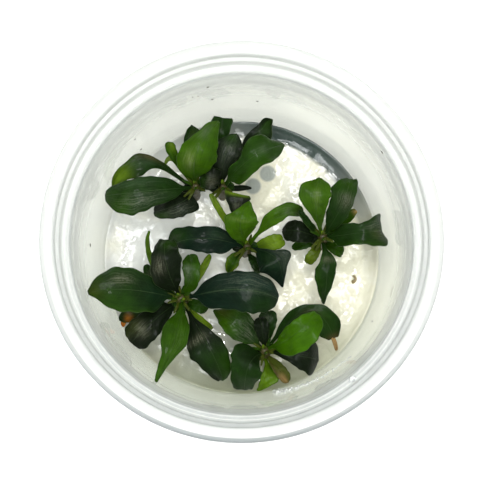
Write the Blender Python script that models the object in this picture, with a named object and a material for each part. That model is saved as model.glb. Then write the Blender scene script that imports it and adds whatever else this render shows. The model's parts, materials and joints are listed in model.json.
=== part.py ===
"""Bucephalandra plantlets growing in a clear plastic tissue-culture cup.

A round, tapered polypropylene cup holds a shallow layer of clear nutrient gel. Six small plants stand
in the gel. Each has a short, thick rhizome, and leaves on stalks that grow out of it all round.

Frame: +Z up, origin at the middle of the cup's underside, +Y away from the viewer. The values below
are millimetres and degrees, and everything is built in metres.
"""

import math
from dataclasses import dataclass

import bmesh
import bpy
from mathutils import Matrix, Vector

MM = 0.001

# The cup. Heights are above the surface that it stands on, and radii are from its middle.
RIM_RADIUS = 50.0
RIM_TOP = 50.0
RIM_WIDTH = 3.8
RIM_ROUND = 0.7
SKIRT_BOTTOM = 42.5
SEAT_HEIGHT = 47.6
SEAT_INNER = 44.6
SEAT_SLOPE = 0.5
SEAT_SHOULDER = 0.2
LEDGE_HEIGHT = 43.5
LEDGE_RADIUS = 43.0
FLOOR_RADIUS = 36.3
FLOOR_TOP = 1.4
FLOOR_CORNER = 3.0
FLOOR_ROUND = 0.5
BASE_RADIUS = 34.2
BASE_CORNER = 0.8
BASE_CORNER_HEIGHT = 0.6
WALL = 0.9
CUP_SIDES = 40
CORNER_STEPS = 3

# The gel, which is poured in warm and climbs the wall a little as it sets.
GEL_TOP = 9.0
GEL_EDGE_TOP = 10.5
GEL_EDGE_WIDTH = 0.5
GEL_EDGE_REACH = 4.0
GEL_EDGE_BEND = 0.4
GEL_EDGE_BEND_RISE = 0.3
SOCKET_SIDES = 8
SOCKET_ROOM = 0.15

# Neighbours that touch keep this far apart.
GAP = 0.3

# The rhizomes, which are rooted in sockets in the gel.
RHIZOME_BOTTOM = 5.4
RHIZOME_SIDES = 10
RHIZOME_RINGS = ((0.0, 0.6), (0.08, 0.85), (0.3, 1.0), (0.55, 0.86), (0.75, 1.0), (0.92, 0.8), (1.0, 0.45))

# The leaves. STALK_HALF and TIP_HALF are half widths. FOLD_OPENS is a share of the blade, and
# HOOK_STARTS one of the leaf. Leaves longer than LARGE_LEAF get the finer cells.
LEAF_THICKNESS = 0.45
STALK_HALF = 0.5
STALK_PLAY = 0.05
TIP_HALF = 0.2
FOLD_OPENS = 0.25
HOOK_STARTS = 0.7
LARGE_LEAF = 11.0
LARGE_CELLS = (6, 4)
SMALL_CELLS = (4, 2)

SHARP_ANGLE = 35

# Colours, linear.
CLEAR_PLASTIC = (0.86, 0.90, 0.88, 1.0)
GEL_COLOUR = (0.85, 0.86, 0.74, 1.0)
RHIZOME_BROWN = (0.09, 0.07, 0.02, 1.0)
DARK = (0.012, 0.035, 0.014, 1.0)
DEEP = (0.020, 0.070, 0.016, 1.0)
BRIGHT = (0.070, 0.200, 0.012, 1.0)
LIME = (0.190, 0.300, 0.020, 1.0)
BROWNED = (0.120, 0.075, 0.025, 1.0)


@dataclass
class Leaf:
    """One leaf, by three points of its midrib and the shape of its blade.

    seat is the height at which its stalk leaves the rhizome. middle and tip are points of the midrib.
    belly is where the blade is widest, from 0 at the stalk to 1 at the tip. blunt is 1 for a pointed
    oval and less for square shoulders. stalk is the stalk's share of the length. roll turns the blade
    about its midrib, at the stalk and at the tip, with its right edge going up. fold is the slope of
    each half, up from the midrib. wave is the height of the edge's waves, and waves is their number.
    hook is how far the tip curls down.
    """

    seat: float
    middle: tuple
    tip: tuple
    width: float
    colour: tuple
    belly: float = 0.5
    blunt: float = 0.8
    stalk: float = 0.1
    roll: tuple = (0, 0)
    fold: float = 10
    wave: float = 0.3
    waves: float = 1.5
    hook: float = 0.0


@dataclass
class Plant:
    """One plant: where its rhizome leaves the gel, where its top is, its thickness and its leaves."""

    foot: tuple
    top: tuple
    radius: float
    leaves: tuple


PLANTS = {
    "back_left": Plant(
        foot=(-12.8, 16.8),
        top=(-12.2, 17.8, 21.0),
        radius=1.5,
        leaves=(
            Leaf(20.0, (-11.5, 24.7, 33), (-5.9, 34.0, 27), 10.5, BRIGHT, roll=(8, -14), fold=-12),
            Leaf(19.0, (-25.2, 14.8, 30.5), (-36.0, 14.4, 25), 11.0, DEEP, blunt=0.5, fold=-14),
            Leaf(
                15.5, (-16.4, 12.8, 22), (-23.6, 11.0, 17), 8.2, DARK,
                belly=0.6, blunt=0.55, fold=-14, stalk=0.15,
            ),
            Leaf(16.0, (-25.6, 23.2, 25), (-34.2, 17.2, 21), 5.0, DEEP, belly=0.45, wave=0.6),
            Leaf(19.5, (-17.4, 23.8, 26), (-19.4, 27.2, 28), 3.6, BRIGHT, belly=0.7, blunt=0.5),
            Leaf(14.5, (-14.2, 27.6, 23), (-13.2, 34.0, 23), 7.0, DARK, belly=0.65, fold=10),
        ),
    ),
    "back": Plant(
        foot=(-5.3, 16.8),
        top=(-4.9, 17.8, 20.5),
        radius=1.4,
        leaves=(
            Leaf(17.0, (-4.6, 24.3, 27), (-1.2, 31.0, 25), 8.6, DARK, belly=0.6, blunt=0.6, fold=-8),
            Leaf(19.5, (-7.4, 16.6, 25), (-10.0, 13.6, 22), 7.6, DARK, belly=0.6, blunt=0.5, stalk=0.2),
            Leaf(19.0, (2.2, 23.0, 32), (11.3, 28.0, 26), 9.5, DEEP, belly=0.5, wave=1.0, waves=2.0),
            Leaf(15.0, (2.4, 28.6, 23.5), (8.1, 35.4, 23), 5.6, DARK, belly=0.6, blunt=0.6),
            Leaf(13.5, (-5.6, 28.5, 20.5), (-4.9, 35.2, 22), 7.0, DARK, belly=0.75, blunt=0.4),
        ),
    ),
    "centre": Plant(
        foot=(1.2, 0.9),
        top=(1.5, 1.7, 20.0),
        radius=1.4,
        leaves=(
            Leaf(19.2, (-0.3, 6.8, 29), (2.3, 12.5, 27), 7.8, BRIGHT, belly=0.6, blunt=0.5, fold=-8),
            Leaf(16.5, (-1.4, 9.6, 23), (-1.4, 15.2, 24), 7.0, DEEP, belly=0.8, blunt=0.35, fold=6),
            Leaf(14.5, (-4.6, 9.4, 19), (-8.3, 15.6, 21), 1.8, LIME, blunt=0.5),
            Leaf(18.5, (9.0, 8.5, 28), (16.0, 9.7, 22), 5.4, BRIGHT, belly=0.45, roll=(10, -30), hook=1.5),
            Leaf(18.0, (-10.1, 3.1, 25), (-19.2, 2.6, 19), 7.8, DARK, blunt=0.5, fold=-12, hook=2.0),
            Leaf(15.5, (7.5, 2.4, 20), (11.3, 3.3, 19), 4.4, LIME, belly=0.6, blunt=0.5),
            Leaf(17.0, (9.1, -2.0, 24), (10.8, -9.1, 18), 8.0, DARK, belly=0.5, blunt=0.5, fold=-8),
            Leaf(14.0, (-2.0, -2.0, 17), (-3.5, -5.0, 15), 3.8, BRIGHT, belly=0.6, blunt=0.5),
            Leaf(12.5, (3.6, -2.4, 15.5), (5.0, -4.8, 14), 2.8, DARK, belly=0.6, blunt=0.5),
        ),
    ),
    "right": Plant(
        foot=(21.2, 3.0),
        top=(21.6, 4.1, 22.0),
        radius=1.5,
        leaves=(
            Leaf(21.2, (19.0, 11.2, 34), (20.4, 18.0, 32), 8.8, BRIGHT, belly=0.6, blunt=0.45, fold=8),
            Leaf(19.5, (26.1, 11.1, 30), (28.5, 18.6, 27), 7.6, DEEP, belly=0.6, blunt=0.5, fold=14),
            Leaf(16.0, (27.2, 8.4, 22), (30.4, 10.6, 24), 3.0, BRIGHT, hook=0.6),
            Leaf(19.5, (30.6, 3.9, 28), (37.3, 5.4, 23), 8.4, DEEP, belly=0.75, blunt=0.45, fold=12),
            Leaf(17.5, (15.4, 5.2, 23), (11.0, 6.0, 18.5), 6.4, DARK, belly=0.6, blunt=0.5, fold=-8),
            Leaf(19.8, (17.4, 7.4, 25), (15.2, 10.4, 26), 1.8, DARK, blunt=0.5),
            Leaf(16.0, (19.3, -0.2, 19), (17.5, -2.6, 17), 3.2, LIME, belly=0.6, blunt=0.5),
            Leaf(18.5, (22.4, -4.8, 26), (21.8, -13.5, 17), 6.6, DEEP, belly=0.5, fold=-14),
            Leaf(14.5, (24.8, 1.4, 18), (27.0, 0.0, 16), 3.4, BRIGHT, belly=0.6, blunt=0.5),
            Leaf(15.0, (17.4, 2.6, 18), (13.6, 1.6, 16), 2.8, DEEP, belly=0.6, blunt=0.5),
        ),
    ),
    "front_left": Plant(
        foot=(-16.3, -13.2),
        top=(-16.0, -12.3, 21.5),
        radius=1.9,
        leaves=(
            Leaf(20.0, (-28.7, -11.0, 31), (-38.2, -11.7, 32), 11.5, DEEP, belly=0.45, blunt=0.7, fold=12),
            Leaf(17.5, (-23.4, -18.8, 24), (-28.9, -22.6, 20), 8.2, DARK, belly=0.7, blunt=0.45, fold=-10),
            Leaf(13.5, (-26.4, -15.6, 18), (-32.6, -17.6, 17), 4.5, DARK, belly=0.6),
            Leaf(20.0, (-17.0, -23.4, 30), (-21.2, -34.2, 31), 8.0, BRIGHT, belly=0.45, blunt=0.9, fold=14),
            Leaf(17.5, (-8.8, -24.6, 25), (-4.8, -33.8, 18), 8.0, DARK, belly=0.6, blunt=0.5, fold=-12),
            Leaf(20.0, (-1.2, -11.0, 32), (9.6, -13.0, 27), 10.8, DARK, belly=0.55, blunt=0.5, fold=-12),
            Leaf(19.5, (-19.4, -4.5, 30), (-20.0, 2.6, 26), 7.6, DARK, belly=0.6, wave=0.8, waves=2.0),
            Leaf(16.5, (-22.6, -7.7, 22), (-25.2, -3.4, 21), 3.6, DEEP, belly=0.55),
            Leaf(14.0, (-25.2, -5.0, 19), (-27.0, 3.4, 25), 1.6, LIME, belly=0.3),
            Leaf(19.0, (-13.2, -6.2, 26), (-13.8, -1.1, 23), 5.4, DEEP, belly=0.55),
            Leaf(14.0, (-11.0, -5.4, 18), (-8.4, -0.4, 18), 2.0, LIME, blunt=0.5),
            Leaf(14.8, (-12.0, -13.9, 17.5), (-9.3, -15.2, 16), 3.6, DEEP, belly=0.6, blunt=0.5),
            Leaf(13.0, (-11.2, -17.4, 17), (-7.8, -19.9, 15), 1.6, LIME, blunt=0.5),
        ),
    ),
    "front_right": Plant(
        foot=(6.0, -26.6),
        top=(6.2, -25.9, 20.0),
        radius=1.7,
        leaves=(
            Leaf(19.0, (14.0, -22.2, 31), (19.3, -16.7, 28), 7.6, BRIGHT, belly=0.5, blunt=0.8, fold=8),
            Leaf(16.5, (17.3, -16.2, 24), (24.4, -22.8, 20), 6.4, DEEP, belly=0.55, blunt=0.6),
            Leaf(18.0, (14.9, -27.8, 25), (21.0, -29.0, 19), 8.4, DARK, belly=0.7, blunt=0.45, fold=-10),
            Leaf(14.5, (9.8, -30.7, 18), (12.4, -34.2, 16), 4.0, BROWNED, belly=0.6, blunt=0.5),
            Leaf(12.5, (6.8, -32.6, 16), (4.4, -36.2, 14.5), 4.4, LIME, belly=0.6, blunt=0.6),
            Leaf(17.5, (2.0, -30.2, 25), (0.8, -36.4, 18), 9.2, DARK, belly=0.65, blunt=0.45, fold=-10),
            Leaf(17.5, (-0.9, -19.9, 24), (-7.3, -15.4, 20), 7.0, DEEP, belly=0.5, wave=0.8, waves=2.0),
            Leaf(15.0, (6.9, -19.0, 20), (6.9, -15.8, 19), 5.0, DEEP, belly=0.6, blunt=0.5),
            Leaf(18.8, (5.4, -21.0, 24), (4.8, -17.6, 23), 4.2, DARK, belly=0.6, blunt=0.5),
        ),
    ),
}


def material(name, colour, roughness):
    made = bpy.data.materials.new(name)
    made.use_nodes = True
    made.diffuse_color = colour
    shader = made.node_tree.nodes["Principled BSDF"]
    shader.inputs["Base Color"].default_value = colour
    shader.inputs["Roughness"].default_value = roughness
    shader.inputs["Metallic"].default_value = 0.0
    return made


def finished(name, bm, finish):
    """An object in the scene from a bmesh in millimetres, with its faces out and its shading smooth."""
    bmesh.ops.recalc_face_normals(bm, faces=bm.faces)
    bmesh.ops.transform(bm, matrix=Matrix.Scale(MM, 4), verts=bm.verts)
    mesh = bpy.data.meshes.new(name)
    bm.to_mesh(mesh)
    bm.free()
    mesh.shade_smooth()
    mesh.set_sharp_from_angle(angle=math.radians(SHARP_ANGLE))
    mesh.materials.append(finish)
    made = bpy.data.objects.new(name, mesh)
    bpy.context.scene.collection.objects.link(made)
    return made


def wall_radius(height):
    """The inner radius of the cup's tapered wall at a height."""
    share = (height - FLOOR_CORNER) / (LEDGE_HEIGHT - FLOOR_CORNER)
    return FLOOR_RADIUS + share * (LEDGE_RADIUS - FLOOR_RADIUS)


def corner(radius, height, size, start):
    """Points of a quarter circle, anticlockwise from an angle, round a centre at radius and height."""
    angles = [math.radians(start + 90 * step / CORNER_STEPS) for step in range(CORNER_STEPS + 1)]
    return [(radius + size * math.cos(a), height + size * math.sin(a)) for a in angles]


def turned(profile, sides):
    """A closed solid from (radius, height) points, which start and end on the axis."""
    bm = bmesh.new()
    points = [bm.verts.new((radius, 0.0, height)) for radius, height in profile]
    edges = [bm.edges.new(pair) for pair in zip(points, points[1:])]
    bmesh.ops.spin(
        bm,
        geom=points + edges,
        cent=(0, 0, 0),
        axis=(0, 0, 1),
        angle=math.tau,
        steps=sides,
        use_merge=True,
    )
    bmesh.ops.remove_doubles(bm, verts=bm.verts, dist=1e-4)
    return bm


def make_cup():
    """Floor, wall, a seat for the lid, a rolled rim and the skirt that hangs outside it, one wall thick."""
    rim_inner = RIM_RADIUS - RIM_WIDTH
    inside = [
        (0, FLOOR_TOP),
        (FLOOR_RADIUS - FLOOR_CORNER + FLOOR_TOP, FLOOR_TOP),
        (FLOOR_RADIUS - FLOOR_ROUND, FLOOR_TOP + FLOOR_ROUND),
        (FLOOR_RADIUS, FLOOR_CORNER),
        (LEDGE_RADIUS, LEDGE_HEIGHT),
        (LEDGE_RADIUS + SEAT_SLOPE, SEAT_HEIGHT - SEAT_SLOPE),
        (SEAT_INNER, SEAT_HEIGHT),
        (rim_inner, SEAT_HEIGHT),
    ]
    rim = corner(rim_inner + RIM_ROUND, RIM_TOP - RIM_ROUND, RIM_ROUND, 90)[::-1]
    rim += corner(RIM_RADIUS - RIM_ROUND, RIM_TOP - RIM_ROUND, RIM_ROUND, 0)[::-1]
    outside = [
        (RIM_RADIUS, SKIRT_BOTTOM),
        (RIM_RADIUS - WALL, SKIRT_BOTTOM),
        (RIM_RADIUS - WALL, RIM_TOP - WALL),
        (rim_inner + WALL, RIM_TOP - WALL),
        (rim_inner + WALL, SEAT_HEIGHT - WALL),
        (SEAT_INNER + SEAT_SHOULDER, SEAT_HEIGHT - WALL),
        (LEDGE_RADIUS + WALL, LEDGE_HEIGHT),
        (FLOOR_RADIUS + WALL, FLOOR_CORNER),
        (BASE_RADIUS + BASE_CORNER, BASE_CORNER_HEIGHT),
        (BASE_RADIUS, 0),
        (0, 0),
    ]
    solid = turned(inside + rim + outside, CUP_SIDES)
    return finished("cup", solid, material("clear_plastic", CLEAR_PLASTIC, 0.12))


def make_gel():
    """The set gel, a socket in it round each rhizome."""
    edge = wall_radius(GEL_EDGE_TOP) - GAP
    profile = [
        (0, FLOOR_TOP + GAP),
        (FLOOR_RADIUS - FLOOR_CORNER + FLOOR_TOP - GAP, FLOOR_TOP + GAP),
        (FLOOR_RADIUS - FLOOR_ROUND - GAP, FLOOR_TOP + FLOOR_ROUND + GAP),
        (FLOOR_RADIUS - GAP, FLOOR_CORNER + GAP),
        (edge, GEL_EDGE_TOP),
        (edge - GEL_EDGE_WIDTH, GEL_EDGE_TOP),
        (edge - GEL_EDGE_BEND * GEL_EDGE_REACH, GEL_TOP + GEL_EDGE_BEND_RISE),
        (edge - GEL_EDGE_REACH, GEL_TOP),
        (0, GEL_TOP),
    ]
    gel = finished("gel", turned(profile, CUP_SIDES), material("nutrient_gel", GEL_COLOUR, 0.08))
    sockets = bmesh.new()
    for plant in PLANTS.values():
        height = 2 * (GEL_TOP - RHIZOME_BOTTOM + GAP)
        radius = plant.radius + GAP + SOCKET_ROOM
        bmesh.ops.create_cone(
            sockets,
            cap_ends=True,
            segments=SOCKET_SIDES,
            radius1=radius,
            radius2=radius,
            depth=height,
            matrix=Matrix.Translation((*plant.foot, RHIZOME_BOTTOM - GAP + height / 2)),
        )
    cutter = finished("gel_sockets", sockets, gel.data.materials[0])
    cutter.hide_render = True
    cutter.display_type = "WIRE"
    cut = gel.modifiers.new("sockets", "BOOLEAN")
    cut.operation = "DIFFERENCE"
    cut.object = cutter
    return gel


def rhizome_axis(plant, height):
    """The middle of the rhizome at a height: upright in the gel, then leaning to its top."""
    share = max(0.0, height - GEL_TOP) / (plant.top[2] - GEL_TOP)
    foot = Vector((*plant.foot, 0))
    top = Vector((*plant.top[:2], 0))
    return foot.lerp(top, share) + Vector((0, 0, height))


def make_rhizome(name, plant, finish):
    """A short stem, ringed where old leaves came away, and rounded at its top."""
    bm = bmesh.new()
    rings = []
    for share, girth in RHIZOME_RINGS:
        height = RHIZOME_BOTTOM + share * (plant.top[2] - RHIZOME_BOTTOM)
        place = Matrix.Translation(rhizome_axis(plant, height))
        ring = bmesh.ops.create_circle(
            bm, segments=RHIZOME_SIDES, radius=plant.radius * girth, matrix=place
        )["verts"]
        rings.append([edge for edge in bm.edges if all(vert in ring for vert in edge.verts)])
    for lower, upper in zip(rings, rings[1:]):
        bmesh.ops.bridge_loops(bm, edges=lower + upper)
    bmesh.ops.holes_fill(bm, edges=rings[0] + rings[-1], sides=0)
    return finished(f"{name}_rhizome", bm, finish)


def midrib(leaf, start, share):
    """A point of the curve from the stalk's start through the middle to the tip, and the way it runs."""
    middle, tip = Vector(leaf.middle), Vector(leaf.tip)
    pull = 2 * middle - (start + tip) / 2
    point = (1 - share) ** 2 * start + 2 * share * (1 - share) * pull + share**2 * tip
    way = 2 * (1 - share) * (pull - start) + 2 * share * (tip - pull)
    past = max(0.0, share - HOOK_STARTS) / (1 - HOOK_STARTS)
    point.z -= leaf.hook * past**2
    way.z -= leaf.hook * 2 * past / (1 - HOOK_STARTS)
    return point, way.normalized()


def half_width(leaf, along):
    """Half the blade's width, at a share of the blade's own length."""
    if along <= 0:
        return STALK_HALF
    bent = along ** (math.log(0.5) / math.log(leaf.belly))
    swell = max(0.0, math.sin(math.pi * min(1.0, bent)))
    ends = STALK_HALF + (TIP_HALF - STALK_HALF) * along
    return ends + max(0.0, leaf.width / 2 - ends) * swell**leaf.blunt


def blade_point(leaf, start, share, across):
    """A point of the leaf's middle surface. across runs from -1, its left edge, to 1, its right edge."""
    point, way = midrib(leaf, start, share)
    right = Vector((way.y, -way.x, 0)).normalized()
    roll = math.radians(leaf.roll[0] + (leaf.roll[1] - leaf.roll[0]) * share)
    right = Matrix.Rotation(-roll, 3, way) @ right
    up = right.cross(way)
    along = (share - leaf.stalk) / (1 - leaf.stalk)
    half = half_width(leaf, along)
    open_share = min(1.0, max(0.0, along) / FOLD_OPENS)
    fold = math.radians(leaf.fold) * open_share
    ripple = leaf.wave * math.sin(math.tau * leaf.waves * along) * across**2 * open_share
    out = right * (half * across * math.cos(fold))
    return point + out + up * (half * abs(across) * math.sin(fold) + ripple)


def make_leaf(name, plant, leaf, finish):
    """A stalk and a blade in one: a grid laid along the midrib, and thickened to both sides."""
    middle, tip, axis = Vector(leaf.middle), Vector(leaf.tip), rhizome_axis(plant, leaf.seat)
    toward = middle - axis
    toward.z = 0
    start = axis + toward.normalized() * (plant.radius + GAP + LEAF_THICKNESS / 2 + STALK_PLAY)
    size = (middle - start).length + (tip - middle).length
    cells_along, cells_across = LARGE_CELLS if size > LARGE_LEAF else SMALL_CELLS
    bm = bmesh.new()
    bmesh.ops.create_grid(bm, x_segments=cells_along, y_segments=cells_across, size=1.0)
    for vert in bm.verts:
        vert.co = blade_point(leaf, start, (vert.co.x + 1) / 2, -vert.co.y)
    made = finished(name, bm, finish)
    thicken = made.modifiers.new("thickness", "SOLIDIFY")
    thicken.thickness = LEAF_THICKNESS * MM
    thicken.offset = 0.0
    return made


def main():
    for old in list(bpy.data.objects):
        bpy.data.objects.remove(old, do_unlink=True)
    make_cup()
    make_gel()
    rhizome_finish = material("rhizome", RHIZOME_BROWN, 0.55)
    greens = {}
    for plant_name, plant in PLANTS.items():
        make_rhizome(plant_name, plant, rhizome_finish)
        for number, leaf in enumerate(plant.leaves, 1):
            if leaf.colour not in greens:
                greens[leaf.colour] = material(f"leaf_{len(greens) + 1}", leaf.colour, 0.3)
            make_leaf(f"{plant_name}_leaf_{number}", plant, leaf, greens[leaf.colour])


main()
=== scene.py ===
import json
import math
from dataclasses import dataclass

import bmesh
import bpy
from mathutils import Matrix, Vector, noise


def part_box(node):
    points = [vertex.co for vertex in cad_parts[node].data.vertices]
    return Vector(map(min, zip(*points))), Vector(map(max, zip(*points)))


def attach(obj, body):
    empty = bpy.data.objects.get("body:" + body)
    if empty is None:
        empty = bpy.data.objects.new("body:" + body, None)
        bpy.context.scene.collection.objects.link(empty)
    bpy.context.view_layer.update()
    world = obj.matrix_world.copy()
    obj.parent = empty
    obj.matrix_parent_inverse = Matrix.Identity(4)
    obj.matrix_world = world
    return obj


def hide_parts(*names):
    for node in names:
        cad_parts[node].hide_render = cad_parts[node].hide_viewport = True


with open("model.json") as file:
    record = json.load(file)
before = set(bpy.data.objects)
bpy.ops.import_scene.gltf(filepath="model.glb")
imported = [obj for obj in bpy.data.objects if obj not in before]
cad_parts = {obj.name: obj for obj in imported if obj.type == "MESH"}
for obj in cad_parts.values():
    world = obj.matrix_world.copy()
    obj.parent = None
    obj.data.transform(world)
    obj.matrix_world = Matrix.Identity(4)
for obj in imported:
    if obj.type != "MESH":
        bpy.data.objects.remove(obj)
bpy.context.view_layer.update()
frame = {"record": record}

# The cup
# One piece of clear polypropylene, injection moulded: a flat floor, a wall that widens upwards, a seat
# for the lid with fine rings left by the mould, and a rolled rim whose skirt hangs outside it.

MM = 0.001
RIM_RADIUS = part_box("cup")[1].x / MM
RIM_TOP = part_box("cup")[1].z / MM
RIM_INNER = 46.2
RIM_ROUND = 0.7
SKIRT_BOTTOM = 42.5
LEDGE = (43.0, 43.5)
FLOOR_RADIUS = 36.3
FLOOR_TOP = 1.4
FLOOR_CORNER = 1.6
BASE_RADIUS = 34.2
WALL = 0.9
CUP_STEPS = 192


class Wire:
    """One socket in a material's nodes. Sums on it add Math nodes, and add() makes any other node."""

    def __init__(self, tree, socket=None):
        self.tree = tree
        self.socket = socket

    def add(self, kind, settings, inputs, output=0):
        node = self.tree.nodes.new(kind)
        for name, value in settings.items():
            if name == "stops":
                for place, grey in value[1:-1]:
                    node.color_ramp.elements.new(place)
                for stop, (place, grey) in zip(node.color_ramp.elements, value):
                    stop.position = place
                    stop.color = (grey, grey, grey, 1)
            else:
                setattr(node, name, value)
        for key, value in inputs.items():
            if isinstance(value, Wire):
                self.tree.links.new(value.socket, node.inputs[key])
            else:
                node.inputs[key].default_value = value
        return Wire(self.tree, node.outputs[output])

    def maths(self, operation, *values):
        return self.add("ShaderNodeMath", {"operation": operation}, dict(enumerate(values)))

    def limited(self):
        return self.add("ShaderNodeMath", {"operation": "ADD", "use_clamp": True}, {0: self, 1: 0.0})

    def mix(self, one, other):
        """The colour that goes from one to other as this value goes from 0 to 1."""
        return self.add("ShaderNodeMix", {"data_type": "RGBA"}, {0: self, 6: one, 7: other}, 2)

    def into(self, socket):
        self.tree.links.new(self.socket, socket)

    def __add__(self, other):
        return self.maths("ADD", self, other)

    def __sub__(self, other):
        return self.maths("SUBTRACT", self, other)

    def __rsub__(self, other):
        return self.maths("SUBTRACT", other, self)

    def __mul__(self, other):
        return self.maths("MULTIPLY", self, other)

    def __truediv__(self, other):
        return self.maths("DIVIDE", self, other)

    def __pow__(self, other):
        return self.maths("POWER", self, other)

    def __abs__(self):
        return self.maths("ABSOLUTE", self)

    __radd__ = __add__
    __rmul__ = __mul__


def finish(name, constants):
    """A new material, its shader with constants set on the sockets, and a wire to draw its nodes with."""
    made = bpy.data.materials.new(name)
    made.use_nodes = True
    shader = made.node_tree.nodes["Principled BSDF"]
    for socket, value in constants.items():
        shader.inputs[socket].default_value = value
    return made, shader, Wire(made.node_tree)


def place_in(wire):
    """The x, y and z wires of the piece's own coordinates, in metres."""
    spot = wire.add("ShaderNodeTexCoord", {}, {}, "Object")
    return spot, [spot.add("ShaderNodeSeparateXYZ", {}, {0: spot}, axis) for axis in "XYZ"]


def grain(spot, scale, detail=3.0, roughness=0.5, distortion=0.0):
    """A noise from 0 to 1, with scale features to the metre."""
    inputs = {"Vector": spot, "Scale": scale, "Detail": detail, "Roughness": roughness}
    return spot.add("ShaderNodeTexNoise", {}, inputs | {"Distortion": distortion})


def piece(name, bm, material):
    """An object on the cup's body from a bmesh in millimetres, with its faces out."""
    bmesh.ops.remove_doubles(bm, verts=bm.verts, dist=1e-4)
    bmesh.ops.recalc_face_normals(bm, faces=bm.faces)
    bmesh.ops.scale(bm, vec=(MM, MM, MM), verts=bm.verts)
    mesh = bpy.data.meshes.new(name)
    bm.to_mesh(mesh)
    bm.free()
    mesh.shade_smooth()
    mesh.materials.append(material)
    made = bpy.data.objects.new(name, mesh)
    bpy.context.scene.collection.objects.link(made)
    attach(made, "root")
    return made


def arc(radius, height, size, start, sweep, steps=5):
    """Points of an arc round a centre at radius and height, from an angle and through a sweep."""
    angles = [math.radians(start + sweep * step / steps) for step in range(steps + 1)]
    return [(radius + size * math.cos(a), height + size * math.sin(a)) for a in angles]


def turned(profile, steps):
    """A closed solid turned from (radius, height) points that start and end on the axis."""
    bm = bmesh.new()
    points = [bm.verts.new((radius, 0.0, height)) for radius, height in profile]
    edges = [bm.edges.new(pair) for pair in zip(points, points[1:])]
    bmesh.ops.spin(
        bm, geom=points + edges, cent=(0, 0, 0), axis=(0, 0, 1), angle=math.tau, steps=steps, use_merge=True
    )
    return bm


inside = [(0, FLOOR_TOP), (20, FLOOR_TOP)]
inside += arc(FLOOR_RADIUS - FLOOR_CORNER, FLOOR_TOP + FLOOR_CORNER, FLOOR_CORNER, -90, 90)
inside += [(39.7, 23.5), LEDGE, (43.2, 43.9), (43.45, 44.1), (43.7, 44.0), (44.2, 44.1), (44.4, 44.25)]
inside += [(44.6, 44.1), (44.9, 44.2), (45.05, 44.6), (45.2, 47.2), (45.35, 47.5), (RIM_INNER, 47.6)]
rim = arc(RIM_INNER + RIM_ROUND, RIM_TOP - RIM_ROUND, RIM_ROUND, 180, -90)
rim += arc(RIM_RADIUS - RIM_ROUND, RIM_TOP - RIM_ROUND, RIM_ROUND, 90, -90)
skirt = [(RIM_RADIUS, 44.2), (RIM_RADIUS - 0.25, 44.0), (RIM_RADIUS - 0.25, SKIRT_BOTTOM)]
skirt += [(RIM_RADIUS - WALL, SKIRT_BOTTOM), (RIM_RADIUS - WALL, RIM_TOP - WALL)]
skirt += [(RIM_INNER + WALL, RIM_TOP - WALL), (RIM_INNER + WALL, 46.7), (46.05, 46.7), (46.05, 43.4)]
outside = [(44.3, 43.2), (LEDGE[0] + WALL, 42.8), (FLOOR_RADIUS + WALL, 3.0)]
outside += arc(BASE_RADIUS, 2.8, 2.8, -15, -75) + [(20, 0), (0, 0)]

clear_plastic, clear, wire = finish("clear_plastic", {"Transmission Weight": 1.0, "IOR": 1.49})
spot, (x, y, z) = place_in(wire)
ripples = grain(spot, 70, 2.0)
smears = grain(spot, 260, 4.0, 0.6)
wire.add(
    "ShaderNodeBump", {}, {"Strength": 0.25, "Distance": 0.0006, "Height": ripples + smears * 0.06}, "Normal"
).into(clear.inputs["Normal"])
(0.01 + smears ** 3 * 0.12).into(clear.inputs["Roughness"])
radius = (x * x + y * y) ** 0.5
# Painted shade: the clear plastic grows darker and greener towards the front of the cup.
front_shade = (0.3 - y / radius * 0.7).limited()
front_shade.mix((0.885, 0.905, 0.835, 1), (0.82, 0.855, 0.74, 1)).into(clear.inputs["Base Color"])


def line_at(middle, half):
    """1 on a circle round the cup's axis, falling to 0 at half away from it."""
    return (1 - abs(radius - middle * MM) / (half * MM)).limited()


def between(inner, outer):
    """1 between two radii, with edges a tenth of a millimetre soft."""
    return ((radius - inner * MM) / (0.1 * MM)).limited() * ((outer * MM - radius) / (0.1 * MM)).limited()


# Painted shade: thin grey rings at the ledge, the seat's steps, the rim's groove and its outer edge, where the
# plastic looks dark by refraction, and a greyer seat and skirt at the front. Painted highlight: two white lines on
# the seat. The milky part of the plastic takes these as its colour.
grey = line_at(42.95, 0.25) * 0.35 + line_at(45.1, 0.15) * 0.1
grey = grey + line_at(46.4, 0.35) * 0.2 + line_at(49.8, 0.3) * 0.1 + smears * 0.04
painted_highlight_lines = line_at(43.5, 0.25) + line_at(44.4, 0.2)
front_seat_shade = between(43.0, 46.4) * (0.40 - smears * 0.3) - painted_highlight_lines * 0.6
grey = grey + front_shade * (0.05 + front_seat_shade) + front_shade ** 2 * between(48.8, 60.0) * 0.6
milky_with_painted_shade = grey.limited().mix((0.93, 0.95, 0.92, 1), (0.22, 0.26, 0.285, 1))
hazy = wire.add(
    "ShaderNodeBsdfPrincipled",
    {},
    {"Base Color": milky_with_painted_shade, "Roughness": 0.5, "IOR": 1.3, "Transmission Weight": 0.38},
)
wall_top = ((radius - 0.0412) / 0.0008).limited() - between(42.75, 60.0)
haze = 0.05 + between(42.75, 60.0) * 0.75 + wall_top.limited() * 0.35 + smears * 0.07
mixed = wire.add(
    "ShaderNodeMixShader", {}, {0: haze, 1: Wire(wire.tree, clear.outputs[0]), 2: hazy}
)
mixed.into(wire.tree.nodes["Material Output"].inputs["Surface"])

cup = piece("clear_cup", turned(inside + rim + skirt + outside, CUP_STEPS), clear_plastic)
rounded = cup.modifiers.new("rounded edges", "BEVEL")
rounded.width = 0.12 * MM
rounded.segments = 2
rounded.limit_method = "ANGLE"
rounded.angle_limit = math.radians(22)
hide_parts("cup")

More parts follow.
